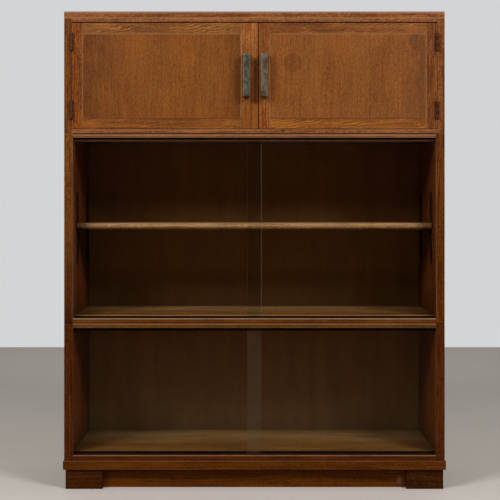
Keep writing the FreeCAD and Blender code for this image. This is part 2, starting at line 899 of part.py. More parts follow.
def door_panel(left, right):
    """A panel nearly flush with its frame, with eased edges and a tongue all round."""
    low, high = door_span()
    face = front_y + panel_recess
    x0, x1 = left + panel_gap, right - panel_gap
    z0, z1 = low + door_rail_height + panel_gap, high - door_rail_height - panel_gap
    field = block((x0, face, z0), (x1, face + panel_thick, z1))
    panel = fuse_all([field, panel_tongue_block(left, right, panel_tongue)])
    wastes = [arris_waste("z", x, face, way, 1, z0 - overrun, z1 + overrun, panel_arris)
              for x, way in ((x0, 1), (x1, -1))]
    wastes += [arris_waste("x", face, z, 1, way, x0 - overrun, x1 + overrun, panel_arris)
               for z, way in ((z0, 1), (z1, -1))]
    return cut_all(panel, wastes)


def stile(outer, inner, groove, wastes):
    """An upright of a door's frame, from its outer edge to its edge along the panel."""
    low, high = door_span()
    left, right = min(outer, inner), max(outer, inner)
    way = 1 if outer > inner else -1
    post = block((left, front_y, low), (right, front_y + door_thick, high))
    edges = [arris_waste("z", x, front_y, side, 1, low - overrun, high + overrun, radius)
             for x, side, radius in ((outer, -way, door_arris), (inner, way, frame_arris))]
    return cut_all(post, edges + [groove] + wastes)


def door_rails(left, right, groove, wastes):
    """The top and bottom rails between the stiles."""
    low, high = door_span()
    rails = []
    for z0, z1, edge, way in ((low, low + door_rail_height, low + door_rail_height, -1),
                              (high - door_rail_height, high, high - door_rail_height, 1)):
        rail = block((left, front_y, z0), (right, front_y + door_thick, z1))
        waste = arris_waste("x", front_y, edge, 1, way, left - overrun, right + overrun, frame_arris)
        rails.append(cut_all(rail, [waste, groove] + wastes))
    return rails


def door(name, hinge_edge, meeting_edge, meeting_width, handle_from_edge, catch, leaf_side):
    """Every piece of a door, by node name. leaf_side puts the left hinge parts on its side."""
    way = 1 if meeting_edge > hinge_edge else -1
    hinge_inner = hinge_edge + way * stile_width
    meeting_inner = meeting_edge - way * meeting_width
    left, right = sorted((hinge_inner, meeting_inner))
    groove = panel_tongue_block(left, right, panel_tongue + panel_room)
    handle_x = meeting_edge - way * handle_from_edge
    hinge_wastes = [leaf_side(waste) for waste in hinge_recesses(1)]
    barrel_hole = rod("z", catch[0], catch[1], door_span()[1] - catch_length - screw_clearance,
                      door_span()[1] + overrun, catch_radius + screw_clearance)
    screws = [leaf_side(screw) for screw in hinge_screw_parts(wood_screw, 1)]
    return {
        name + "_hinge_stile": [stile(hinge_edge, hinge_inner, groove, hinge_wastes)],
        name + "_meeting_stile": [stile(meeting_edge, meeting_inner, groove,
                                        handle_screw_holes(handle_x))],
        name + "_rails": door_rails(left, right, groove, [barrel_hole]),
        name + "_panel": [door_panel(left, right)],
        name + "_handle": [handle(handle_x)],
        name + "_hinge_leaves": [leaf_side(leaf) for leaf in hinge_leaves(1)],
        name + "_catch": door_catch(catch),
        name + "_screws": screws + handle_screws(handle_x),
    }


def meeting_strip():
    """The upright strip on the left door that fills the middle of the front."""
    low, high = door_span()
    half = strip_cover_width / 2
    strip = block((-half, front_y, low), (half, front_y + door_thick, high))
    return cut_all(strip, [arris_waste("z", way * half, front_y, -way, 1, low - overrun, high + overrun,
                                       door_arris) for way in (-1, 1)])


def doors():
    """Both cupboard doors."""
    hinge_edge = cupboard_inner - hinge_gap
    half = strip_cover_width / 2
    catches = catch_spots()
    nodes = door("left_door", -hinge_edge, -half, left_meeting_stile_width, left_handle_from_edge,
                 catches[0], lambda shape: shape)
    nodes["left_door_meeting_strip"] = [meeting_strip()]
    nodes.update(door("right_door", hinge_edge, half + meeting_gap, stile_width,
                      right_handle_from_edge, catches[1], mirrored))
    return nodes


def write_node(name, solids):
    """One file for one node, with each of its pieces as its own solid."""
    whole = [solid for shape in solids for solid in shape.Solids]
    shape = whole[0] if len(whole) == 1 else Part.makeCompound(whole)
    shape.exportStep(os.path.join("parts", name + ".step"))


def main():
    """Builds every layer and writes one file for each node."""
    os.makedirs("parts", exist_ok=True)
    nodes = plinth()
    nodes.update(glazed_unit("lower", lower_z, middle_z, False, []))
    nodes.update(middle_unit())
    nodes.update(cupboard_case())
    nodes.update(doors())
    for name, solids in nodes.items():
        write_node(name, solids)
    print(len(nodes), "nodes")


main()
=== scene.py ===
import math

import bpy
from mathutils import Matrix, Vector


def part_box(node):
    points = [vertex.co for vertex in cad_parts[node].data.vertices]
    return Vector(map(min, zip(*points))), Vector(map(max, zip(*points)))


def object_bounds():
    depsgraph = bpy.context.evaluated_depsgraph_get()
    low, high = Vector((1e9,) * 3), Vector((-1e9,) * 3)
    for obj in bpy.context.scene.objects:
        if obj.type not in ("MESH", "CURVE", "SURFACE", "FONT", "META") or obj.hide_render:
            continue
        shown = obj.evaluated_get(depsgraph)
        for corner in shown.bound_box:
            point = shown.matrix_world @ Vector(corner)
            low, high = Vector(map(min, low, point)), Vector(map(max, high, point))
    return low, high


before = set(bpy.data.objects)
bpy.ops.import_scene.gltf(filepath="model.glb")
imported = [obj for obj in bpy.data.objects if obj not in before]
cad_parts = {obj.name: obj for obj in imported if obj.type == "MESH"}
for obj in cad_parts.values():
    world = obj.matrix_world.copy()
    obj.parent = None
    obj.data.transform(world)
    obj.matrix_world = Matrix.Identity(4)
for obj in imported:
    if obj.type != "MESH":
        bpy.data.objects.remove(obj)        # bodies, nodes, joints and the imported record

bl_info = {
    "name": "Stacking Bookcase",
    "version": (1, 0, 0),
    "blender": (4, 5, 0),
    "location": "3D View > Sidebar > Bookcase",
    "description": "Finishes the stacking bookcase in aged oak, glass and metal, and lights it",
    "category": "Object",
}

CAD_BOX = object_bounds()

# The photograph is this many pixels wide and high.
PICTURE_WIDTH = 500

# Order of the object coordinates that puts the grain's direction first
GRAIN_ORDER = {"x": "XYZ", "y": "YXZ", "z": "ZXY"}

# Steps that part the noise of one board from the next, in metres
SEED_STEP = (1.37, 0.53, 0.91)

# What the tones of one board are of its middle tone, in linear red, green and blue
DEEP_SHARES = (0.62, 0.52, 0.42)
PALE_SHARES = (1.42, 1.50, 1.60)
RED_SHARES = (1.03, 0.98, 0.92)
OLIVE_SHARES = (0.98, 1.02, 1.06)

# How far noise mostly swings from its middle value of 0.5
NOISE_SWING = 0.25

# Stretches of noise that Map Range draws out to a whole pattern, as its From Min and From Max
HUE_SPAN = {1: 0.35, 2: 0.65}
DEEP_SPAN = {1: 0.24, 2: 0.50}
PALE_SPAN = {1: 0.50, 2: 0.78}
PORE_SPAN = {1: 0.56, 2: 0.70}
RAY_PATCH_SPAN = {1: 0.46, 2: 0.62}
RUBBED_SPAN = {1: 0.2, 2: 0.5}
FIGURE_SPAN = {1: 0.1, 2: 0.9}
SMEAR_SPAN = {1: 0.3, 2: 0.75}
SPOT_SPAN = {1: 0.38, 2: 0.62}
CLOUD_SPAN = {1: 0.2, 2: 0.8}

# Ray flecks: how many spacings the waves bend them by, and how far from its middle a line ends and is full
RAY_BEND = 3.5
RAY_LINE_SPAN = {1: 0.24, 2: 0.03}

# Cosine of a face's angle to an axis, where it turns into an arris and where it looks along the axis
ARRIS_SPAN = {1: 0.985, 2: 0.90}
FACING_SPAN = {1: 0.7, 2: 0.95}

# Roughness of polished oak, and what pores and rubbing add to it
OAK_ROUGH, PORE_ROUGH, WORN_ROUGH = 0.42, 0.25, 0.15

# Single faults on the front: the middle of each as X and Z, and its reach along both, in metres
STAIN = ((0.0895, 0.9968), (0.0245, 0.0245))
NICK = ((0.067, 0.8385), (0.008, 0.0016))
SCUFF = ((0.343, 0.017), (0.009, 0.015))


def linear(code):
    """An sRGB hex colour as linear red, green and blue with an alpha of 1."""
    parts = [int(code[start:start + 2], 16) / 255 for start in (1, 3, 5)]
    return [c / 12.92 if c <= 0.04045 else ((c + 0.055) / 1.055) ** 2.4 for c in parts] + [1.0]


WHITE = linear("#FFFFFF")


def shifted(colour, shares):
    """A colour with each of its parts times a share."""
    return [min(part * share, 1.0) for part, share in zip(colour, shares)] + [1.0]


def tone(name, description, code):
    """A colour that a user can change."""
    return bpy.props.FloatVectorProperty(name=name, description=description, subtype="COLOR", size=4,
                                         min=0.0, max=1.0, default=linear(code))


def length(name, description, metres):
    """A length that a user can change."""
    return bpy.props.FloatProperty(name=name, description=description, default=metres, unit="LENGTH",
                                   precision=5, min=0.0)


def share(name, description, value):
    """A share from 0 to 1 that a user can change."""
    return bpy.props.FloatProperty(name=name, description=description, default=value, subtype="FACTOR",
                                   min=0.0, max=1.0)


class OakTones(bpy.types.PropertyGroup):
    """Middle tones of the oak, board by board, and of what age has put on it."""

    cap: tone("Top board", "Top board and its front edge", "#76441D")
    # Partly worn wood and partly a painted highlight on the cap's rounded top edge.
    cap_arris: tone("Top board's arris", "Rubbed upper arris of the top board", "#8E7258")
    left_side: tone("Cupboard's left side", "Left side of the cupboard", "#5F330B")
    right_side: tone("Cupboard's right side", "Right side of the cupboard", "#6C3B16")
    cupboard_rail: tone("Cupboard rails", "Rails above and below the doors", "#794826")
    left_hinge_stile: tone("Left hinge stile", "Orange stile of the left door", "#693303")
    right_hinge_stile: tone("Right hinge stile", "Dark red stile of the right door", "#68360D")
    left_stile_top: tone("Left meeting stile, top", "Upper half of it", "#844C1D")
    left_stile_foot: tone("Left meeting stile, foot", "Lower half of it", "#6B390B")
    strip_top: tone("Strip, top", "Upper half of the strip between the doors", "#864F21")
    strip_foot: tone("Strip, foot", "Lower half of the strip between the doors", "#763F0F")
    right_stile_top: tone("Right meeting stile, top", "Upper half of it", "#6B3810")
    right_stile_foot: tone("Right meeting stile, foot", "Lower half of it", "#784214")
    left_top_rail: tone("Left top rail", "Top rail of the left door", "#74461C")
    left_foot_rail: tone("Left foot rail", "Bottom rail of the left door", "#754111")
    right_top_rail: tone("Right top rail", "Top rail of the right door", "#714017")
    right_foot_rail: tone("Right foot rail", "Bottom rail of the right door", "#794512")
    left_panel: tone("Left panel", "Panel of the left door", "#734010")
    right_panel: tone("Right panel", "Panel of the right door", "#764316")
    # Tones that each panel darkens to towards its ends.
    left_rim: tone("Left panel's rim", "Redder old polish round the left panel", "#5C2F08")
    right_rim: tone("Right panel's rim", "Darker old polish round the right panel", "#623816")
    stain: tone("Stain", "Round stain on the right panel", "#6A3911")
    groove: tone("Grooves", "Red-brown polish gathered in the grooves", "#561E06")
    middle_left_top: tone("Middle unit, left top", "Upper end of its left side", "#6A3F13")
    middle_right_top: tone("Middle unit, right top", "Upper end of its right side", "#542A08")
    middle_left_foot: tone("Middle unit, left foot", "Lower end of its left side", "#371302")
    middle_right_foot: tone("Middle unit, right foot", "Lower end of its right side", "#542902")
    middle_rail: tone("Middle top rail", "Top rail of the middle unit, pale", "#6D3F26")
    middle_foot_rail: tone("Middle foot rail", "Bottom rail of the middle unit", "#592E0C")
    lower_side: tone("Lower unit's sides", "Sides of the lower unit", "#461F04")
    lower_rail: tone("Lower top rail", "Top rail of the lower unit", "#54300E")
    lower_foot_rail: tone("Lower foot rail", "Bottom rail of the lower unit", "#461E03")
    base_rail: tone("Base rail", "Base frame", "#502806")
    plinth: tone("Plinth boards", "Boards between the feet", "#532904")
    foot: tone("Feet", "Block feet", "#371903")
    inside: tone("Inside boards", "Floor and top of the lower unit, and bare oak", "#7E5429")
    middle_inside: tone("Middle unit's boards", "Darker floor and top of the middle unit", "#774C25")
    inside_rear: tone("Inside boards, rear", "Paler rear half of the floors", "#946E46")
    # Painted light: the inner faces of the sides take this tone for the light and shade that fall inside the
    # case.
    inner_side_light: tone("Inner sides", "Inner faces of the sides, redder", "#613112")
    # Painted shade: the downward faces of the top boards are darkened for the shade they lie in.
    underside_shade: tone("Undersides", "Undersides of the top boards", "#4C2A10")
    shelf: tone("Shelf", "Loose shelf and the upper part of its nose", "#A27A54")
    # The same dark tone is also laid as painted shade at the shelf's ends.
    shelf_foot: tone("Shelf's lower edge", "Dark lower part of the shelf's nose, and its ends", "#683910")
    middle_back: tone("Middle back", "Stained plywood of the middle unit's back", "#7A4F24")
    lower_back: tone("Lower back", "Stained plywood of the lower unit's back", "#8A643E")
    middle_back_top: tone("Middle back, top", "Darker upper end of the middle unit's back", "#613817")
    lower_back_top: tone("Lower back, top", "Redder upper end of the lower unit's back", "#683710")
    raw_back: tone("Raw back", "Unstained rear face of the backs, and beech", "#A08058")
    worn: tone("Worn arris", "Bare, paler wood of rubbed edges", "#B88450")
    worn_low: tone("Worn arris below", "Greyer bare wood below the cupboard", "#94785C")
    pore: tone("Pores", "Open pores filled with old polish", "#2A1206")
    track: tone("Tracks", "Grooved tracks of the glass", "#241610")
    # Painted highlight: the upper track's lip lies in the top rail's shade and takes this paler tone as if
    # lit.
    lip: tone("Track lip", "Greyed lower edge of the upper track", "#966B5B")
    # Dark dirt in the joints, and also the colour of painted shade in corners, recesses and on rounded ends.
    grime_and_shade: tone("Grime", "Dark polish and dirt along the joints", "#160802")


class GrainSizes(bpy.types.PropertyGroup):
    """Real sizes of what shows in the oak."""

    ring: length("Growth rings", "Width of one growth ring on quarter-sawn oak", 0.0034)
    pore: length("Pores", "Width of a pore, coarser than the real 0.3 mm so that it shows", 0.0012)
    mottle: length("Mottling", "Width of the blotches that the polish has made", 0.0045)
    patch: length("Patches", "Width of the broad changes of tone along a board", 0.07)
    ray: length("Ray flecks", "Spacing of the wavy ray flecks", 0.0065)
    wave: length("Waves", "Length of the slow waves in the grain", 0.16)
    sway: length("Sway", "How far the grain sways sideways", 0.004)
    chip: length("Wear", "Length of the more and less worn stretches of an arris", 0.018)
    ragged: length("Old polish", "Width of the ragged spots round a panel's rim", 0.05)
    scuff: length("Scuff", "Width of the bare spots in the scuff on the plinth", 0.002)


class Fittings(bpy.types.PropertyGroup):
    """Tones of the glass and the metal, and real sizes of what shows in them."""

    left_handle: tone("Left handle", "Patina of the cast bronze", "#4A4B3F")
    right_handle: tone("Right handle", "Warmer patina of the right handle", "#574F40")
    handle_worn: tone("Worn handle edges", "Edges of the bronze rubbed by hands", "#84694A")
    left_hinge: tone("Left hinges", "Browned steel of the left door's hinges", "#5A3518")
    right_hinge: tone("Right hinges", "Darker steel of the right door's hinges", "#441C0A")
    screw: tone("Screws", "Dull steel screws", "#6A645C")
    brass: tone("Brass", "Old brass of the catches", "#9A7C46")
    strip: tone("Shelf strips", "Blackened steel strips and clips", "#1C1612")
    glass: tone("Glass", "Clear sheet glass, faintly green", "#F9FAF8")
    glass_edge: tone("Glass edge", "Ground edge of a pane", "#8A9084")
    film: tone("Film", "Thin film of dust", "#A89678")
    lower_dust: share("Lower dust", "How much dust covers the lower panes", 0.005)
    middle_dust: share("Middle dust", "How much dust covers the middle panes", 0.0004)
    lower_band: share("Lower band", "Extra dust on the lower panes where they overlap", 0.011)
    overlap: length("Overlap", "How far the two panes of a unit overlap", 0.033)
    smear: length("Smears", "Width of the smears in the dust", 0.03)
    patina: length("Patina", "Width of the clouds in the handles' patina", 0.014)
    spot: length("Spots", "Width of the spots on the other metal", 0.004)


class Studio(bpy.types.PropertyGroup):
    """Where the camera and the lamps stand, and how bright and pale the stage is."""

    camera_far: length("Camera distance", "How far in front of the case it stands", 2.72)
    camera_height: length("Camera height", "Height over the floor", 0.651)
    camera_left: length("Camera offset", "How far left of the middle it stands", 0.0103)
    pixel: length("Pixel", "Size of one picture pixel on the case's front", 0.002338)
    horizon_rise: bpy.props.FloatProperty(
        name="Horizon", description="Pixels from the picture's middle up to the horizon", default=39.2)
    lamp_reach: length("Lamp reach", "Distance of both lamps from the case", 3.6)
    lamp_size: length("Lamp size", "Width of both lamps", 1.1)
    lamp_power: bpy.props.FloatProperty(name="Lamp power", description="Power of each lamp", default=76.0,
                                        subtype="POWER")
    sky: share("Sky", "Brightness of the plain light from all round", 0.24)
    backdrop: tone("Backdrop", "Pale backdrop behind the case", "#D3D4D5")
    floor: tone("Floor", "Plain pale floor", "#CCC4BA")
    drape: tone("Drapes", "Black cloth in front, which keeps the glass clear", "#0C0C0C")
    cloud: length("Clouds", "Width of the faint clouds in the floor's paint", 0.2)


def add(tree, kind, inputs=None, out=0, **settings):
    """Adds a node with its settings. An input is a value or a socket, and one of its outputs comes back."""
    node = tree.nodes.new("ShaderNode" + kind)
    for name, value in settings.items():
        setattr(node, name, value)
    for key, value in (inputs or {}).items():
        if isinstance(value, bpy.types.NodeSocket):
            tree.links.new(value, node.inputs[key])
        else:
            node.inputs[key].default_value = value
    return node.outputs[out] if node.outputs else None


def new_material(name, pieces=()):
    """An empty material, which is given to CAD nodes, and its node tree."""
    material = bpy.data.materials.new(name)
    material.use_nodes = True
    material.node_tree.nodes.clear()
    for piece in pieces:
        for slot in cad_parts[piece].material_slots:
            slot.material = material
    return material, material.node_tree


def grain_space(tree, grain, seed, turn=None):
    """Object coordinates turned so that the grain runs along the first, and moved by a seed.
    Behind the depth turn, the grain runs along X."""
    parts = add(tree, "SeparateXYZ", {0: add(tree, "TexCoord", out="Object")}).node.outputs

    def along(way):
        return add(tree, "CombineXYZ", {index: parts[axis] for index, axis in enumerate(GRAIN_ORDER[way])})

    turned = along(grain)
    if turn is not None:
        behind = add(tree, "Math", {0: parts["Y"], 1: turn}, operation="GREATER_THAN")
        turned = add(tree, "Mix", {0: behind, 4: turned, 5: along("x")}, out=1, data_type="VECTOR")
    return add(tree, "VectorMath", {0: turned, 1: [seed * step for step in SEED_STEP]}, operation="ADD")


def swayed(tree, space, sizes):
    """The grain's coordinates, bent sideways in slow waves as a tree grows."""
    wave = add(tree, "TexNoise", {"Vector": space, "Scale": 1 / sizes.wave, "Detail": 1.0}, out="Color")
    centred = add(tree, "VectorMath", {0: wave, 1: (0.5, 0.5, 0.5)}, operation="SUBTRACT")
    moved = add(tree, "VectorMath", {0: centred, "Scale": sizes.sway / NOISE_SWING}, operation="SCALE")
    return add(tree, "VectorMath", {0: space, 1: moved}, operation="ADD")


def streaks(tree, space, width, stretch, detail=2.0):
    """Noise whose spots are some metres wide and stretch times as long along the grain."""
    squeezed = add(tree, "VectorMath", {0: space, 1: (1 / stretch, 1, 1)}, operation="MULTIPLY")
    return add(tree, "TexNoise", {"Vector": squeezed, "Scale": 1 / width, "Detail": detail,
                                  "Roughness": 0.6})


def ray_flecks(tree, space, sizes, slant):
    """Thin slanting lines in patches, where the saw has run along the rays. On a face square to the depth
    the last two coordinates add up to the way across the grain."""
    parts = add(tree, "SeparateXYZ", {0: space}).node.outputs
    across = add(tree, "Math", {0: parts["Y"], 1: parts["Z"]}, operation="ADD")
    slanted = add(tree, "Math", {0: parts["X"], 1: slant, 2: across}, operation="MULTIPLY_ADD")
    waves = streaks(tree, space, sizes.ray * 3, 2.5)
    bent = add(tree, "Math", {0: waves, 1: RAY_BEND}, operation="MULTIPLY")
    turns = add(tree, "Math", {0: slanted, 1: 1 / sizes.ray, 2: bent}, operation="MULTIPLY_ADD")
    folded = add(tree, "Math", {0: turns, 1: 0.5}, operation="PINGPONG")
    lines = add(tree, "MapRange", {0: folded, **RAY_LINE_SPAN})
    patches = add(tree, "MapRange", {0: streaks(tree, space, sizes.ray * 6, 2.5), **RAY_PATCH_SPAN})
    return add(tree, "Math", {0: lines, 1: patches}, operation="MULTIPLY")


def rounded_edges(tree):
    """1 on rounded arrises, whose normal lies between the object's axes, and 0 on flat faces."""
    normal = add(tree, "VectorMath", {0: add(tree, "TexCoord", out="Normal")}, operation="ABSOLUTE")
    parts = add(tree, "SeparateXYZ", {0: normal}).node.outputs
    largest = add(tree, "Math", {0: parts["X"], 1: parts["Y"]}, operation="MAXIMUM")
    largest = add(tree, "Math", {0: largest, 1: parts["Z"]}, operation="MAXIMUM")
    return add(tree, "MapRange", {0: largest, **ARRIS_SPAN})


def near_level(tree, axis, level, reach):
    """1 at a level of the object's X, Y or Z, and 0 at reach from it."""
    parts = add(tree, "SeparateXYZ", {0: add(tree, "TexCoord", out="Object")}).node.outputs
    away = add(tree, "Math", {0: parts[axis], 1: level}, operation="SUBTRACT")
    away = add(tree, "Math", {0: away}, operation="ABSOLUTE")
    return add(tree, "MapRange", {0: away, 1: reach, 2: 0.0})


def past(tree, axis, level, fade):
    """1 past a level of the object's X, Y or Z and 0 short of it. A negative fade turns it round."""
    place = add(tree, "SeparateXYZ", {0: add(tree, "TexCoord", out="Object")}).node.outputs[axis]
    return add(tree, "MapRange", {0: place, 1: level - fade / 2, 2: level + fade / 2})


def facing(tree, axis, sign, mask=1.0):
    """A mask on faces that look along the object's X, Y or Z, or against it with a sign of -1."""
    normal = add(tree, "SeparateXYZ", {0: add(tree, "TexCoord", out="Normal")}).node.outputs[axis]
    span = {key: cosine * sign for key, cosine in FACING_SPAN.items()}
    looks = add(tree, "MapRange", {0: normal, **span})
    return add(tree, "Math", {0: looks, 1: mask}, operation="MULTIPLY")


def broken(tree, mask, width, low, high):
    """A mask broken up by noise whose spots are some metres wide. It is gone where the noise is below low,
    and whole above high."""
    noise = add(tree, "TexNoise", {"Vector": add(tree, "TexCoord", out="Object"), "Scale": 1 / width,
                                   "Detail": 4.0})
    return add(tree, "Math", {0: mask, 1: add(tree, "MapRange", {0: noise, 1: low, 2: high})},
               operation="MULTIPLY")


def oval(tree, middle, reach, soft):
    """1 inside an upright oval on the front, and 0 outside it, with soft as the share that fades."""
    place = add(tree, "VectorMath", {0: add(tree, "TexCoord", out="Object"), 1: (middle[0], 0, middle[1])},
                operation="SUBTRACT")
    round_place = add(tree, "VectorMath", {0: place, 1: (1 / reach[0], 0, 1 / reach[1])},
                      operation="MULTIPLY")
    far = add(tree, "VectorMath", {0: round_place}, out="Value", operation="LENGTH")
    return add(tree, "MapRange", {0: far, 1: 1.0, 2: 1.0 - soft})


def ends(tree, low, high, reaches):
    """1 at the left and right ends of a board, and 0 at each one's reach from it."""
    return add(tree, "Math", {0: near_level(tree, "X", low.x, reaches[0]),
                              1: near_level(tree, "X", high.x, reaches[1])}, operation="MAXIMUM")


def coated(tree, ground, *coats):
    """A colour with coats laid over it in turn. A coat is a mask, the colour it brings and its strength."""
    for mask, colour, strength in coats:
        cover = add(tree, "Math", {0: mask, 1: strength}, operation="MULTIPLY")
        ground = add(tree, "Mix", {0: cover, 6: ground, 7: colour}, out=2, data_type="RGBA")
    return ground


def deep_and_pale(tree, colour):
    """The deep and the pale tone of a wood from its middle tone."""
    return [add(tree, "VectorMath", {0: colour, 1: shares}, operation="MULTIPLY")
            for shares in (DEEP_SHARES, PALE_SHARES)]


# Quarter-sawn oak, fumed or stained and then polished: straight ring lines, short open pores, pale ray
# flecks across the boards, and a low satin polish that has rubbed through to pale wood on every arris.
def oak(pieces, name, grain, colour, seed, flecks=0.3, rings=1.1, mottle=0.9, patches=0.7, run=60.0,
        wear=0.6, shine=0.18, pore_depth=0.3, slant=-0.2, speck=(1.0, 1.3), turn=None, bare=None, shades=(),
        marks=()):
    """Boards of old polished oak. Most of the numbers are the strength of what they name. Run is how much
    longer than wide the ring lines are, speck the share of the mottling's size and how far it is drawn out
    along the grain, and slant the slope of the ray flecks. A shade is a mask's function, the tone that the
    board turns to there and its strength, and a mark the same with a colour laid over the grain."""
    tones = bpy.context.scene.bookcase_oak
    sizes = bpy.context.scene.bookcase_grain
    tree = new_material(name, pieces)[1]
    space = swayed(tree, grain_space(tree, grain, seed, turn), sizes)
    ring_lines = streaks(tree, space, sizes.ring, run)
    blotches = streaks(tree, space, sizes.mottle * speck[0], speck[1], detail=4.0)
    broad = streaks(tree, space, sizes.patch, 2.5)
    hue = streaks(tree, space, sizes.patch * 0.6, 4.0)
    pores = add(tree, "MapRange", {0: streaks(tree, space, sizes.pore, 14.0, detail=1.0), **PORE_SPAN})
    level = 0.5
    for layer, weight in ((ring_lines, rings), (blotches, mottle), (broad, patches)):
        off = add(tree, "Math", {0: layer, 1: 0.5}, operation="SUBTRACT")
        level = add(tree, "Math", {0: off, 1: weight, 2: level}, operation="MULTIPLY_ADD")
    middle = coated(tree, shifted(colour, RED_SHARES),
                    (add(tree, "MapRange", {0: hue, **HUE_SPAN}), shifted(colour, OLIVE_SHARES), 1.0))
    for mask, other, strength in shades:
        shares = [new / old for old, new in zip(colour[:3], other[:3])]
        turned = add(tree, "VectorMath", {0: middle, 1: shares}, operation="MULTIPLY")
        middle = coated(tree, middle, (mask(tree), turned, strength))
    deep, pale = deep_and_pale(tree, middle)
    bright = add(tree, "VectorMath", {0: pale, 1: PALE_SHARES}, operation="MULTIPLY")
    rubbed = add(tree, "MapRange", {0: streaks(tree, space, sizes.chip, 1.5), 3: 0.3, **RUBBED_SPAN})
    worn = add(tree, "Math", {0: rounded_edges(tree), 1: rubbed}, operation="MULTIPLY")
    wood = coated(tree, deep,
                  (add(tree, "MapRange", {0: level, **DEEP_SPAN}), middle, 1.0),
                  (add(tree, "MapRange", {0: level, **PALE_SPAN}), pale, 1.0),
                  (pores, tones.pore, pore_depth),
                  (ray_flecks(tree, space, sizes, slant), bright, flecks),
                  (worn, bare or tones.worn, wear),
                  *((mask(tree), other, strength) for mask, other, strength in marks))
    rough = add(tree, "Math", {0: pores, 1: PORE_ROUGH, 2: OAK_ROUGH}, operation="MULTIPLY_ADD")
    rough = add(tree, "Math", {0: worn, 1: WORN_ROUGH, 2: rough}, operation="MULTIPLY_ADD")
    height = add(tree, "Math", {0: pores, 1: -0.6, 2: ring_lines}, operation="MULTIPLY_ADD")
    bump = add(tree, "Bump", {"Height": height, "Strength": 0.3, "Distance": 0.0004})
    shader = add(tree, "BsdfPrincipled", {"Base Color": wood, "Roughness": rough, "Normal": bump,
                                          "IOR": 1.5, "Specular IOR Level": shine, "Coat Weight": shine / 4,
                                          "Coat Roughness": 0.3})
    add(tree, "OutputMaterial", {0: shader})


# Birch-faced plywood: broad soft figure, stained dark on the side that shows and left raw at the rear.
def plywood(pieces, name, seed, foot, top, low, high):
    """A back panel, raw behind and stained in front, with its tones at two heights."""
    tones = bpy.context.scene.bookcase_oak
    sizes = bpy.context.scene.bookcase_grain
    tree = new_material(name, pieces)[1]
    space = swayed(tree, grain_space(tree, "z", seed), sizes)
    figure = streaks(tree, space, sizes.patch / 2, 6.0, detail=3.0)
    fibre = streaks(tree, space, sizes.pore, 24.0)
    faint = add(tree, "Math", {0: fibre, 1: 0.4}, operation="MULTIPLY")
    level = add(tree, "Math", {0: figure, 1: 0.6, 2: faint}, operation="MULTIPLY_ADD")
    grown = add(tree, "MapRange", {0: level, **FIGURE_SPAN})
    front = coated(tree, foot, (past(tree, "Z", (low + high) / 2, fade=(high - low) * 0.8), top, 1.0))
    faces = []
    for colour in (front, tones.raw_back[:3]):
        deep, pale = deep_and_pale(tree, colour)
        faces.append(coated(tree, deep, (grown, pale, 1.0)))
    # Painted shade darkens the foot of the back, where it meets the floor board.
    wood = coated(tree, faces[0], (past(tree, "Z", low + 0.07, fade=-0.1), tones.grime_and_shade, 0.6),
                  (facing(tree, "Y", 1), faces[1], 1.0))
    bump = add(tree, "Bump", {"Height": fibre, "Strength": 0.25, "Distance": 0.0003})
    shader = add(tree, "BsdfPrincipled", {"Base Color": wood, "Roughness": 0.6, "Normal": bump, "IOR": 1.5,
                                          "Specular IOR Level": 0.1})
    add(tree, "OutputMaterial", {0: shader})


# Old sheet glass: clear, with a thin film of dust, a greenish ground edge that also carries a painted
# highlight, and a faint mirror.
def pane_glass(pieces, name, meeting_edge, film, band, line, seed):
    """A sliding pane with shares of dust all over, more where the panes overlap, and on its ground edges."""
    fittings = bpy.context.scene.bookcase_fittings
    tree = new_material(name, pieces)[1]
    space = grain_space(tree, "z", seed)
    clear = add(tree, "BsdfTransparent", {0: fittings.glass})
    mirror = add(tree, "BsdfGlossy", {0: WHITE, "Roughness": 0.02})
    steep = add(tree, "Math", {0: add(tree, "LayerWeight", {"Blend": 0.5}, out="Facing"), 1: 5.0},
                operation="POWER")
    # The mirror shows a little from straight in front, and nearly hides the rest at a low angle.
    pane = add(tree, "MixShader", {0: add(tree, "MapRange", {0: steep, 3: 0.02, 4: 0.9}), 1: clear,
                                   2: mirror})
    smears = add(tree, "MapRange", {0: streaks(tree, space, fittings.smear, 2.0, detail=5.0),
                                    3: film * 0.4, 4: film, **SMEAR_SPAN})
    # Half of its reach from the edge, this mask passes 0.5, and there the band ends.
    near_edge = near_level(tree, "X", meeting_edge, reach=fittings.overlap * 2)
    covered = add(tree, "MapRange", {0: near_edge, 1: 0.499, 2: 0.501, 4: band})
    dusty = add(tree, "Math", {0: smears, 1: covered}, operation="ADD")
    edge = rounded_edges(tree)
    # The ground edge shows its own grey-green, and its share also paints the bright line seen along a pane's
    # edge.
    edge_and_highlight = add(tree, "Math", {0: edge, 1: line}, operation="MULTIPLY")
    cover = add(tree, "Math", {0: dusty, 1: edge_and_highlight}, operation="MAXIMUM")
    dust = add(tree, "BsdfDiffuse", {0: coated(tree, fittings.film, (edge, fittings.glass_edge, 1.0))})
    whole = add(tree, "MixShader", {0: cover, 1: pane, 2: dust})
    add(tree, "OutputMaterial", {0: whole})


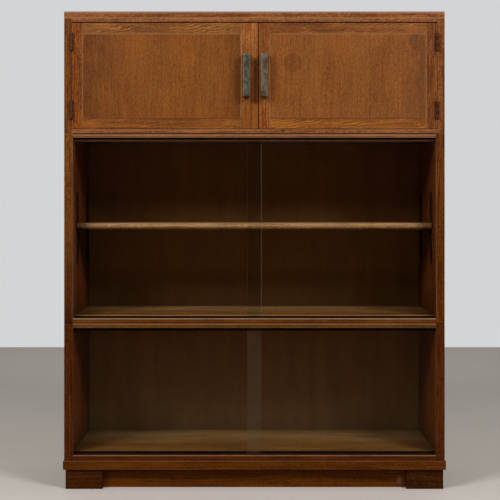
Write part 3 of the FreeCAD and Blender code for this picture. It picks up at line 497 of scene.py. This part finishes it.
# Old metal: mottled by age, dull in its pits, paler and smoother where its edges are rubbed.
def metal(pieces, name, colour, worn, rough, seed, grain, metallic=1.0):
    """A metal with one tone for its faces, one for its rubbed edges, and spots as wide as its grain."""
    tree = new_material(name, pieces)[1]
    space = grain_space(tree, "z", seed)
    spots = streaks(tree, space, grain, 1.0, detail=4.0)
    fine = streaks(tree, space, grain / 4, 1.0)
    level = add(tree, "MapRange", {0: spots, **SPOT_SPAN})
    edges = add(tree, "Math", {0: rounded_edges(tree), 1: level}, operation="MULTIPLY")
    skin = coated(tree, shifted(colour, DEEP_SHARES), (level, shifted(colour, PALE_SHARES), 1.0),
                  (edges, worn, 1.0))
    roughness = add(tree, "Math", {0: spots, 1: 0.3, 2: rough - 0.15}, operation="MULTIPLY_ADD")
    bump = add(tree, "Bump", {"Height": fine, "Strength": 0.3, "Distance": 0.0002})
    shader = add(tree, "BsdfPrincipled", {"Base Color": skin, "Roughness": roughness, "Normal": bump,
                                          "Metallic": metallic})
    add(tree, "OutputMaterial", {0: shader})


class BOOKCASE_OT_stage(bpy.types.Operator):
    """Camera, floor, backdrop, lamps and drapes"""

    bl_idname = "bookcase.stage"
    bl_label = "Stage"

    def execute(self, context):
        studio = context.scene.bookcase_studio
        low, high = CAD_BOX
        self.camera(context, studio)
        self.floor(context, studio)
        self.lamps(context, studio, (low + high) / 2)
        self.drapes(context, studio)
        self.world(context, studio)
        return {"FINISHED"}

    def camera(self, context, studio):
        """A camera that looks straight along +Y, as the photographer stood."""
        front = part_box("left_door_hinge_stile")[0].y
        data = bpy.data.cameras.new("camera")
        data.sensor_width = 36.0
        data.lens = data.sensor_width * studio.camera_far / (studio.pixel * PICTURE_WIDTH)
        data.shift_y = -studio.horizon_rise / PICTURE_WIDTH
        camera = bpy.data.objects.new("camera", data)
        camera.location = (-studio.camera_left, front - studio.camera_far, studio.camera_height)
        camera.rotation_euler = (math.pi / 2, 0, 0)
        context.scene.collection.objects.link(camera)
        context.scene.camera = camera

    def sheet(self, context, name, corners, faces, material):
        """A piece of the stage from its corners."""
        mesh = bpy.data.meshes.new(name)
        mesh.from_pydata(corners, [], faces)
        mesh.materials.append(material)
        piece = bpy.data.objects.new(name, mesh)
        context.scene.collection.objects.link(piece)
        return piece

    def floor(self, context, studio):
        """A plain floor that ends behind the case, where the backdrop begins."""
        reach, behind = 9.0, 2.7
        # Painted floor: pale and matt, with faint clouds where it was rolled.
        material, tree = new_material("pale_floor")
        space = grain_space(tree, "x", 0)
        level = add(tree, "MapRange", {0: streaks(tree, space, studio.cloud, 2.0, detail=4.0), **CLOUD_SPAN})
        colour = coated(tree, shifted(studio.floor, (0.94, 0.94, 0.94)), (level, studio.floor, 1.0))
        shader = add(tree, "BsdfPrincipled", {"Base Color": colour, "Roughness": 0.7})
        add(tree, "OutputMaterial", {0: shader})
        corners = [(-reach, -reach, 0), (reach, -reach, 0), (reach, behind, 0), (-reach, behind, 0)]
        self.sheet(context, "floor", corners, [(0, 1, 2, 3)], material)

    def drapes(self, context, studio):
        """Black drapes at both sides, in front and on the floor there. Only reflections show them."""
        reach, back, tall, near, lift = 4.8, 1.0, 7.0, -0.4, 0.002
        # Black cloth: it takes all light, so that the glass has nothing bright to show.
        material, tree = new_material("black_drape")
        add(tree, "OutputMaterial", {0: add(tree, "BsdfDiffuse", {0: studio.drape})})
        plan = [(-reach, back), (-reach, -reach), (reach, -reach), (reach, back)]
        corners = [(x, y, z) for z in (0, tall) for x, y in plan]
        corners += [(-reach, near, lift), (-reach, -reach, lift), (reach, -reach, lift), (reach, near, lift)]
        faces = [(i, i + 1, i + 5, i + 4) for i in range(3)] + [(8, 9, 10, 11)]
        drapes = self.sheet(context, "drapes", corners, faces, material)
        drapes.visible_camera = False
        drapes.visible_diffuse = False
        drapes.visible_transmission = False
        drapes.visible_shadow = False

    def lamps(self, context, studio, target):
        """Two large soft lamps, up to the left and up to the right in front."""
        for name, side in (("left_lamp", -1), ("right_lamp", 1)):
            data = bpy.data.lights.new(name, "AREA")
            data.size = studio.lamp_size
            data.energy = studio.lamp_power
            lamp = bpy.data.objects.new(name, data)
            # The way from the case to the lamp
            away = target.copy()
            away.x, away.y, away.z = 0.56 * side, -0.62, 0.55
            lamp.location = target + away.normalized() * studio.lamp_reach
            lamp.rotation_euler = away.to_track_quat("Z", "Y").to_euler()
            context.scene.collection.objects.link(lamp)

    def world(self, context, studio):
        """Plain light from all round. Camera, mirrors and glass see the pale backdrop."""
        world = bpy.data.worlds.new("room")
        world.use_nodes = True
        tree = world.node_tree
        tree.nodes.clear()
        path = add(tree, "LightPath").node.outputs
        seen = add(tree, "Math", {0: path["Is Camera Ray"], 1: path["Is Glossy Ray"]}, operation="MAXIMUM")
        seen = add(tree, "Math", {0: seen, 1: path["Is Transmission Ray"]}, operation="MAXIMUM")
        light = add(tree, "Background", {0: WHITE, 1: studio.sky})
        shown = add(tree, "Background", {0: studio.backdrop, 1: 1.0})
        add(tree, "OutputWorld", {0: add(tree, "MixShader", {0: seen, 1: light, 2: shown})})
        context.scene.world = world


def joint_dirt(node, tones, strength):
    """Dirt along the lowest edge of a node's box, where its unit stands on the one below."""
    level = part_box(node)[0].z
    return (lambda tree: near_level(tree, "Z", level, reach=0.0034), tones.grime_and_shade, strength)


class BOOKCASE_OT_plinth(bpy.types.Operator):
    """Oak of the base frame, feet and plinth boards"""

    bl_idname = "bookcase.plinth"
    bl_label = "Plinth"

    def execute(self, context):
        tones = context.scene.bookcase_oak
        sizes = context.scene.bookcase_grain
        plain = {"wear": 0.12, "bare": tones.worn_low, "shine": 0.03}
        board_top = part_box("plinth_front_board")[1].z
        # Painted shadow: the base rail's shadow, laid as a dark band along the top of the plinth board.
        shade = (lambda tree: near_level(tree, "Z", board_top, reach=0.012), tones.grime_and_shade, 0.9)
        scuff = (lambda tree: broken(tree, oval(tree, *SCUFF, soft=0.9), sizes.scuff, low=0.45, high=0.6),
                 tones.worn_low, 0.8)
        back_rail = 0.03
        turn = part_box("base_rails_side_and_back")[1].y - back_rail
        # Painted shade on both rounded ends of the front base rail, which turn away from the light.
        corners = [(lambda tree, end=end.x: near_level(tree, "X", end, reach=0.004), tones.grime_and_shade, 0.6)
                   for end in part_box("base_rail_front")]
        # Polished oak near the floor: the darkest and dullest boards, with painted shade below the base rail
        # and on its rounded ends.
        for seed, piece, name, grain, colour, more in (
                (1, "base_rail_front", "base_front", "x", tones.base_rail, {"marks": corners}),
                (2, "base_rails_side_and_back", "base_sides", "y", tones.base_rail, {"turn": turn}),
                (3, "plinth_front_board", "plinth_front", "x", tones.plinth, {"marks": (shade, scuff)}),
                (4, "plinth_side_and_back_boards", "plinth_sides", "y", tones.plinth, {"turn": turn})):
            oak([piece], "polished_oak_" + name, grain, colour, seed, **more, **plain)
        oak(["front_feet"], "polished_oak_feet", "x", tones.foot, 5, rings=2.4, mottle=2.4, wear=0.0,
            shine=0.03)
        # Bare oak that never saw polish: pale, dry and matt.
        oak(["plinth_glue_blocks"], "bare_oak_blocks", "z", tones.inside, 6, wear=0.0)
        # Turned beech: pale and close in grain, without flecks.
        oak(["base_dowels"], "beech_dowels_base", "z", tones.raw_back, 7, flecks=0.0)
        return {"FINISHED"}


class BOOKCASE_OT_glazed_units(bpy.types.Operator):
    """Oak and plywood of the two glazed units"""

    bl_idname = "bookcase.glazed_units"
    bl_label = "Glazed units"

    def execute(self, context):
        tones = context.scene.bookcase_oak
        same = (tones.lower_side, tones.lower_side)
        self.unit(tones, "lower", 10, (same, same), (tones.lower_foot_rail, tones.lower_rail, tones.inside),
                  (tones.lower_back, tones.lower_back_top), joint=0.1, wear=0.0, rail_wear=0.4)
        lip_drop = 0.006
        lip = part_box("mid_top_board")[0].z - lip_drop
        # Painted highlight: a paler band on the upper track's lip, which lies in the top rail's shade.
        lip_highlight = (lambda tree: near_level(tree, "Z", lip, reach=0.0035), tones.lip, 1.0)
        self.unit(tones, "mid", 20,
                  ((tones.middle_left_foot, tones.middle_left_top),
                   (tones.middle_right_foot, tones.middle_right_top)),
                  (tones.middle_foot_rail, tones.middle_rail, tones.middle_inside),
                  (tones.middle_back, tones.middle_back_top), joint=0.95, wear=0.6, rail_wear=0.75,
                  track_marks=(lip_highlight,))
        low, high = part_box("mid_shelf")
        split = low.z + (high.z - low.z) * 0.4
        nose = (lambda tree: past(tree, "Z", split, fade=-0.008), tones.shelf_foot, 1.0)
        # Painted shade at both ends of the shelf, beside the sides.
        left_end_shade = (lambda tree: past(tree, "X", low.x + 0.02, fade=-0.03), tones.shelf_foot, 0.85)
        right_end_shade = (lambda tree: past(tree, "X", high.x - 0.03, fade=0.04), tones.shelf_foot, 0.6)
        # Polished oak whose nose is pale above and dark below, with painted shade at both ends.
        oak(["mid_shelf"], "polished_oak_shelf", "x", tones.shelf, 28, wear=0.0,
            shades=(nose, left_end_shade, right_end_shade))
        return {"FINISHED"}

    def unit(self, tones, unit, seed, sides, boards, backs, joint, wear, rail_wear, track_marks=()):
        """One unit, with the tones of its sides and back from below upwards, those of its foot rail, top
        rail and level boards, the strength of the dirt in its joint, and the marks on its tracks."""
        plain = {"bare": tones.worn_low, "shine": 0.05}
        low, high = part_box(unit + "_side_left")
        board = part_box(unit + "_bottom_board")
        middle, tall, floor = (low.z + high.z) / 2, high.z - low.z, board[1].z
        nook_top = floor + 0.03
        line_drop, seam_drop, slot_drop = 0.0045 * joint, 0.0015, 0.0003 + 0.003 * wear
        dirt = joint_dirt(unit + "_side_left", tones, joint)
        top_rail = (lambda tree: past(tree, "Z", middle, fade=0.1), boards[1], 1.0)
        top_line = (lambda tree: near_level(tree, "Z", high.z - line_drop, reach=0.0025), tones.worn, 0.4)
        seam = (lambda tree: past(tree, "Z", high.z - seam_drop, fade=0.001), tones.grime_and_shade, joint)
        # Dirt and painted shade on the floor board's front face below its top, which the front rail shades.
        slot = (lambda tree: past(tree, "Z", floor - slot_drop, fade=-0.0008), tones.grime_and_shade, 1.0)
        rear = (lambda tree: past(tree, "Y", 0.03, fade=0.12), tones.inside_rear, 1.0)
        # Painted shade on the downward faces of the top boards.
        underside_shade = (lambda tree: facing(tree, "Z", -1), tones.underside_shade, 1.0)
        # Painted shade at both ends of the level boards, in the corners beside the sides.
        corners = (lambda tree: ends(tree, *board, reaches=(0.06, 0.06)), tones.grime_and_shade, 0.45)
        for side, sign, (foot, top) in (("left", 1, sides[0]), ("right", -1, sides[1])):
            piece = "%s_side_%s" % (unit, side)
            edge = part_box(piece)[sign > 0].x
            upward = (lambda tree, sign=sign: add(tree, "Math", {0: past(tree, "Z", middle, fade=tall),
                                                                 1: facing(tree, "X", sign)},
                                                  operation="SUBTRACT", use_clamp=True), top, 1.0)
            # Painted light: the side's inner face turns to a tone of its own for how light and shade fall
            # inside the case.
            inner = (lambda tree, sign=sign: facing(tree, "X", sign), tones.inner_side_light, 1.0)
            # Painted shade low on the side's inner face, in the corner by the floor board.
            nook_shade = (lambda tree, sign=sign: facing(tree, "X", sign, past(tree, "Z", nook_top, fade=-0.07)),
                    tones.grime_and_shade, 0.45)
            # Painted shade: a dark line on the front along the inner edge, where the glass meets the side.
            arris = (lambda tree, edge=edge: facing(tree, "Y", -1, near_level(tree, "X", edge, reach=0.004)),
                     tones.grime_and_shade, 0.5)
            # Polished oak that darkens towards the foot, and is paler and flatter inside the case, where its
            # tone is painted light.
            oak([piece], "polished_oak_%s_%s_side" % (unit, side), "z", foot, seed + 1 + sign, rings=2.2,
                mottle=2.4, patches=1.2, wear=wear * 0.3, slant=0.04, shades=(upward, inner),
                marks=(dirt, arris, nook_shade), **plain)
        # Polished oak with dirt along the joint and a rubbed, pale upper arris.
        oak([unit + "_front_rails"], "polished_oak_%s_rails" % unit, "x", boards[0], seed + 3, wear=rail_wear,
            shades=(top_rail,), marks=(dirt, top_line, seam), **plain)
        # Stained oak without polish: flat to the eye, paler towards the rear, with painted shade at the ends
        # and beneath.
        oak([unit + "_top_board", unit + "_bottom_board"], "stained_oak_%s_boards" % unit, "x", boards[2],
            seed + 4, flecks=0.15, wear=wear, shades=(rear, underside_shade), marks=(slot, corners), **plain)
        # Beech stained nearly black, with a painted highlight on the lip of the middle unit's upper track.
        oak([unit + "_tracks"], "stained_beech_%s_tracks" % unit, "x", tones.track, seed + 5, flecks=0.0,
            wear=0.2, marks=track_marks, **plain)
        plywood([unit + "_back_panel"], "stained_birch_plywood_%s_back" % unit, seed + 6, *backs, low.z,
                high.z)
        # Turned beech: pale and close in grain, without flecks.
        oak([unit + "_dowels"], "beech_dowels_" + unit, "z", tones.raw_back, seed + 7, flecks=0.0)


class BOOKCASE_OT_glass(bpy.types.Operator):
    """Sliding panes"""

    bl_idname = "bookcase.glass"
    bl_label = "Glass"

    def execute(self, context):
        fittings = context.scene.bookcase_fittings
        # The last numbers are the left and right panes' shares of their edge colour, a painted highlight as
        # well.
        for seed, unit, film, band, lines in (
                (40, "lower", fittings.lower_dust, fittings.lower_band, (0.02, 0.02)),
                (42, "mid", fittings.middle_dust, 0.0, (0.13, 0.03))):
            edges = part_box(unit + "_glass_left")[1].x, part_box(unit + "_glass_right")[0].x
            for index, side in enumerate(("left", "right")):
                pane_glass(["%s_glass_%s" % (unit, side)], "sheet_glass_%s_%s" % (unit, side), edges[index],
                           film, band, lines[index], seed + index)
        return {"FINISHED"}


class BOOKCASE_OT_cupboard(bpy.types.Operator):
    """Oak of the cupboard's case"""

    bl_idname = "bookcase.cupboard"
    bl_label = "Cupboard"

    def execute(self, context):
        tones = context.scene.bookcase_oak
        low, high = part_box("cupboard_top_board")
        doors_low, doors_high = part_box("left_door_rails")
        dirt = joint_dirt("cupboard_side_left", tones, 0.5)
        # Pale top edge of the cap: faded wood and, in part, a painted highlight on the rounded edge.
        bleach_and_highlight = (lambda tree: past(tree, "Z", high.z - 0.005, fade=0.001), tones.cap_arris, 0.5)
        rubbed = (lambda tree: near_level(tree, "Z", low.z, reach=0.003), tones.worn, 0.5)
        gap = (lambda tree: near_level(tree, "Z", doors_high.z + 0.001, reach=0.0035), tones.grime_and_shade, 0.85)
        line = (lambda tree: near_level(tree, "Z", doors_low.z - 0.004, reach=0.003), tones.worn, 0.06)
        nick = (lambda tree: oval(tree, *NICK, soft=0.4), tones.grime_and_shade, 0.95)
        # Polished oak, faded by light on top: redder than below, with a pale upper arris, partly faded wood
        # and partly painted highlight.
        oak(["cupboard_top_board"], "polished_oak_cap", "x", tones.cap, 50, rings=1.6, mottle=1.8, wear=0.0,
            marks=(bleach_and_highlight, rubbed))
        for side, colour, seed in (("left", tones.left_side, 51), ("right", tones.right_side, 52)):
            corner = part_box("cupboard_side_" + side)[side == "right"].x
            # Painted shade along the side's outer corner, where the rounded arris turns away from the light.
            edge = (lambda tree, corner=corner: near_level(tree, "X", corner, reach=0.0035), tones.grime_and_shade, 0.6)
            # Polished oak with upright grain, with painted shade along its outer corner.
            oak(["cupboard_side_" + side], "polished_oak_cupboard_" + side, "z", colour, seed, rings=2.1,
                mottle=2.0, slant=0.04, shine=0.1, marks=(dirt, edge))
        # Polished oak, streaky, with shade in the gap over the doors and one small nick.
        oak(["cupboard_front_rails"], "polished_oak_cupboard_rails", "x", tones.cupboard_rail, 53, rings=1.5,
            mottle=1.8, marks=(dirt, gap, line, nick))
        # Bare oak inside the cupboard: clean, pale and matt.
        oak(["cupboard_bottom_board", "door_stops"], "bare_oak_inside", "x", tones.inside, 54)
        tall = 0.3
        plywood(["cupboard_back_panel"], "stained_birch_plywood_cupboard_back", 55, tones.middle_back,
                tones.middle_back, low.z - tall, high.z)
        return {"FINISHED"}


class BOOKCASE_OT_doors(bpy.types.Operator):
    """Oak of the two cupboard doors"""

    bl_idname = "bookcase.doors"
    bl_label = "Doors"

    def execute(self, context):
        tones = context.scene.bookcase_oak
        stain = (lambda tree: facing(tree, "Y", -1, oval(tree, *STAIN, soft=0.2)), tones.stain, 1.0)
        self.door(tones, "left", 60, tones.left_hinge_stile, (tones.left_stile_top, tones.left_stile_foot),
                  (tones.left_top_rail, tones.left_foot_rail), (tones.left_panel, tones.left_rim),
                  reaches=(0.13, 0.055))
        self.door(tones, "right", 70, tones.right_hinge_stile,
                  (tones.right_stile_top, tones.right_stile_foot),
                  (tones.right_top_rail, tones.right_foot_rail), (tones.right_panel, tones.right_rim),
                  reaches=(0.01, 0.07), more=(stain,))
        low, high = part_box("left_door_meeting_strip")
        foot = (lambda tree: past(tree, "Z", (low.z + high.z) / 2, fade=-0.2), tones.strip_foot, 1.0)
        seam = (lambda tree: near_level(tree, "X", low.x, reach=0.003), tones.groove, 0.8)
        shut = (lambda tree: near_level(tree, "X", high.x, reach=0.0025), tones.groove, 0.8)
        # Polished oak strip, the palest upright, with a dark seam on either side.
        oak(["left_door_meeting_strip"], "polished_oak_strip", "z", tones.strip_top, 65, wear=0.2, slant=0.04,
            shades=(foot,), marks=(seam, shut))
        return {"FINISHED"}

    def door(self, tones, side, seed, hinge, meeting, rails, panels, reaches, more=()):
        """One door, with the tones of its meeting stile and rails from above downwards, those of its panel
        and of the panel's darker ends, how far in the ends reach, and more shades of the panel."""
        door = side + "_door_"
        sizes = bpy.context.scene.bookcase_grain
        low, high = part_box(door + "panel")
        middle, tongue = (low.z + high.z) / 2, 0.005
        lit = high.z - tongue - 0.0012
        halves = (lambda tree: past(tree, "Z", middle, fade=-0.2), meeting[1], 1.0)
        foot = (lambda tree: past(tree, "Z", middle, fade=-0.05), rails[1], 1.0)
        groove = (lambda tree: near_level(tree, "Z", low.z + tongue, reach=0.003), tones.groove, 0.85)
        pale = (lambda tree: near_level(tree, "Z", lit, reach=0.0025), tones.worn, 0.4)
        # The panel darkens towards its ends, in ragged spots.
        old = (lambda tree: broken(tree, ends(tree, low, high, reaches), sizes.ragged, low=0.05, high=0.5),
               panels[1], 1.0)
        # Quarter-sawn and polished oak: straight grain along each board, crossed by pale flecks.
        oak([door + "hinge_stile"], "polished_oak_%s_hinge_stile" % side, "z", hinge, seed + 1, flecks=0.8,
            rings=2.5, mottle=2.0, slant=0.04)
        oak([door + "meeting_stile"], "polished_oak_%s_meeting_stile" % side, "z", meeting[0], seed + 2,
            rings=2.0, mottle=1.7, slant=0.04, shades=(halves,))
        oak([door + "rails"], "polished_oak_%s_door_rails" % side, "x", rails[0], seed + 3, flecks=0.8,
            shades=(foot,), marks=(groove, pale))
        # Polished oak panel of even, fine grain, speckled, and darker towards its ends.
        oak([door + "panel"], "polished_oak_%s_panel" % side, "z", panels[0], seed + 4, flecks=0.1,
            rings=0.55, mottle=1.0, run=30.0, patches=0.45, pore_depth=0.1, speck=(0.7, 1.8),
            shades=(old, *more))


class BOOKCASE_OT_metal(bpy.types.Operator):
    """Handles, hinges, catches, screws, strips and clips"""

    bl_idname = "bookcase.metal"
    bl_label = "Metal"

    def execute(self, context):
        fittings = context.scene.bookcase_fittings
        spot = fittings.spot
        for seed, side, handle, hinge in (
                (80, "left", fittings.left_handle, fittings.left_hinge),
                (81, "right", fittings.right_handle, fittings.right_hinge)):
            # Cast bronze with a cloudy grey-green patina, rubbed brown on its edges.
            metal([side + "_door_handle"], "patinated_bronze_%s_handle" % side, handle, fittings.handle_worn,
                  0.5, seed, fittings.patina, metallic=0.4)
            # Steel browned by age: dull and nearly as dark as the wood round it.
            metal([side + "_door_hinge_leaves"], "browned_steel_%s_hinges" % side, hinge, hinge, 0.6,
                  seed + 2, spot, metallic=0.75)
        metal(["hinge_frame_leaves", "hinge_pins"], "browned_steel_frame_leaves", fittings.left_hinge,
              fittings.right_hinge, 0.6, 88, spot, metallic=0.75)
        # Old brass: yellow and still a little bright.
        metal(["left_door_catch", "right_door_catch", "catch_strikes"], "old_brass_catches", fittings.brass,
              fittings.brass, 0.35, 89, spot)
        # Turned steel screws gone grey and dull.
        metal(["left_door_screws", "right_door_screws", "cupboard_screws", "lower_screws", "mid_screws"],
              "dull_steel_screws", fittings.screw, fittings.screw, 0.4, 90, spot)
        # Rolled steel blackened in oil: it swallows the light inside the case.
        metal(["mid_shelf_strips", "mid_shelf_clips"], "blackened_steel_strips", fittings.strip,
              fittings.left_hinge, 0.55, 91, spot, metallic=0.6)
        return {"FINISHED"}


class BOOKCASE_PT_panel(bpy.types.Panel):
    """The bookcase's pieces"""

    bl_label = "Stacking Bookcase"
    bl_space_type = "VIEW_3D"
    bl_region_type = "UI"
    bl_category = "Bookcase"

    def draw(self, context):
        for operator in OPERATORS:
            self.layout.operator(operator.bl_idname)
        for name, _ in SETTINGS:
            group = getattr(context.scene, name)
            box = self.layout.box()
            for key in group.__annotations__:
                box.prop(group, key)


OPERATORS = (BOOKCASE_OT_stage, BOOKCASE_OT_plinth, BOOKCASE_OT_glazed_units, BOOKCASE_OT_glass,
             BOOKCASE_OT_cupboard, BOOKCASE_OT_doors, BOOKCASE_OT_metal)
SETTINGS = (("bookcase_oak", OakTones), ("bookcase_grain", GrainSizes), ("bookcase_fittings", Fittings),
            ("bookcase_studio", Studio))


def register():
    """Registers the settings, the operators and the panel."""
    for name, group in SETTINGS:
        bpy.utils.register_class(group)
        setattr(bpy.types.Scene, name, bpy.props.PointerProperty(type=group))
    for operator in OPERATORS:
        bpy.utils.register_class(operator)
    bpy.utils.register_class(BOOKCASE_PT_panel)


def unregister():
    """Takes all of them away again."""
    bpy.utils.unregister_class(BOOKCASE_PT_panel)
    for operator in reversed(OPERATORS):
        bpy.utils.unregister_class(operator)
    for name, group in reversed(SETTINGS):
        delattr(bpy.types.Scene, name)
        bpy.utils.unregister_class(group)


def main():
    """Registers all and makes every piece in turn."""
    register()
    bpy.context.scene.view_settings.view_transform = "Standard"
    for operator in OPERATORS:
        group, name = operator.bl_idname.split(".")
        getattr(getattr(bpy.ops, group), name)()


if __name__ == "__main__":
    main()
